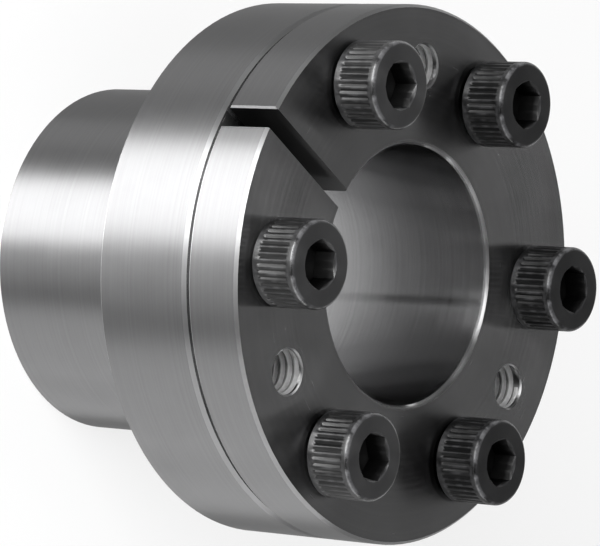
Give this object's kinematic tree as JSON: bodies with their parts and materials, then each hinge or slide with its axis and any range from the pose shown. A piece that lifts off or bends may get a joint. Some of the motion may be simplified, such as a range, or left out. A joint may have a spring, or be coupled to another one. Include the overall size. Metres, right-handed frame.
{
  "type": "shaft locking assembly",
  "caption": "Keyless locking assembly whose slit taper rings are drawn together by a circle of cap screws, to grip a shaft in the bore and a hub on the sleeve.",
  "frame": {"origin": "on the axis, at the rear end of the outer ring, where the part stands", "axes": "+Z along the shaft's axis towards the flange and the screw heads; +X towards the jacking hole that lies 60 degrees from the flange's slit; +Y 90 degrees on, on the same side as that slit"},
  "size_m": [0.062, 0.062, 0.0514],
  "materials": {
    "ring_steel": "fine turned steel, bare and lightly oiled",
    "screw_steel": "black oxide, satin"
  },
  "bodies": {
    "outer_ring": {"outer_ring": "ring_steel"},
    "inner_ring": {"inner_ring": "ring_steel"},
    "clamp_screw_1": {"clamp_screw_1": "screw_steel"},
    "clamp_screw_2": {"clamp_screw_2": "screw_steel"},
    "clamp_screw_3": {"clamp_screw_3": "screw_steel"},
    "clamp_screw_4": {"clamp_screw_4": "screw_steel"},
    "clamp_screw_5": {"clamp_screw_5": "screw_steel"},
    "clamp_screw_6": {"clamp_screw_6": "screw_steel"}
  },
  "joints": [
    {"name": "draw_in", "type": "slide", "parent": "outer_ring", "child": "inner_ring", "axis": [0, 0, 1], "range_m": [-0.0003, 0.002]},
    {"name": "clamp_screw_1_turn", "type": "hinge", "parent": "inner_ring", "child": "clamp_screw_1", "pos_m": [0.02078, 0.012, 0.0454], "axis": [0, 0, 1], "range_deg": [-108, 720]},
    {"name": "clamp_screw_2_turn", "type": "hinge", "parent": "inner_ring", "child": "clamp_screw_2", "pos_m": [0, 0.024, 0.0454], "axis": [0, 0, 1], "range_deg": [-108, 720]},
    {"name": "clamp_screw_3_turn", "type": "hinge", "parent": "inner_ring", "child": "clamp_screw_3", "pos_m": [-0.02078, 0.012, 0.0454], "axis": [0, 0, 1], "range_deg": [-108, 720]},
    {"name": "clamp_screw_4_turn", "type": "hinge", "parent": "inner_ring", "child": "clamp_screw_4", "pos_m": [-0.02078, -0.012, 0.0454], "axis": [0, 0, 1], "range_deg": [-108, 720]},
    {"name": "clamp_screw_5_turn", "type": "hinge", "parent": "inner_ring", "child": "clamp_screw_5", "pos_m": [0, -0.024, 0.0454], "axis": [0, 0, 1], "range_deg": [-108, 720]},
    {"name": "clamp_screw_6_turn", "type": "hinge", "parent": "inner_ring", "child": "clamp_screw_6", "pos_m": [0.02078, -0.012, 0.0454], "axis": [0, 0, 1], "range_deg": [-108, 720]}
  ],
  "couplings": [
    {"joint": "clamp_screw_1_turn", "follows": "draw_in", "rad_per_m": 6283.2},
    {"joint": "clamp_screw_2_turn", "follows": "draw_in", "rad_per_m": 6283.2},
    {"joint": "clamp_screw_3_turn", "follows": "draw_in", "rad_per_m": 6283.2},
    {"joint": "clamp_screw_4_turn", "follows": "draw_in", "rad_per_m": 6283.2},
    {"joint": "clamp_screw_5_turn", "follows": "draw_in", "rad_per_m": 6283.2},
    {"joint": "clamp_screw_6_turn", "follows": "draw_in", "rad_per_m": 6283.2}
  ]
}
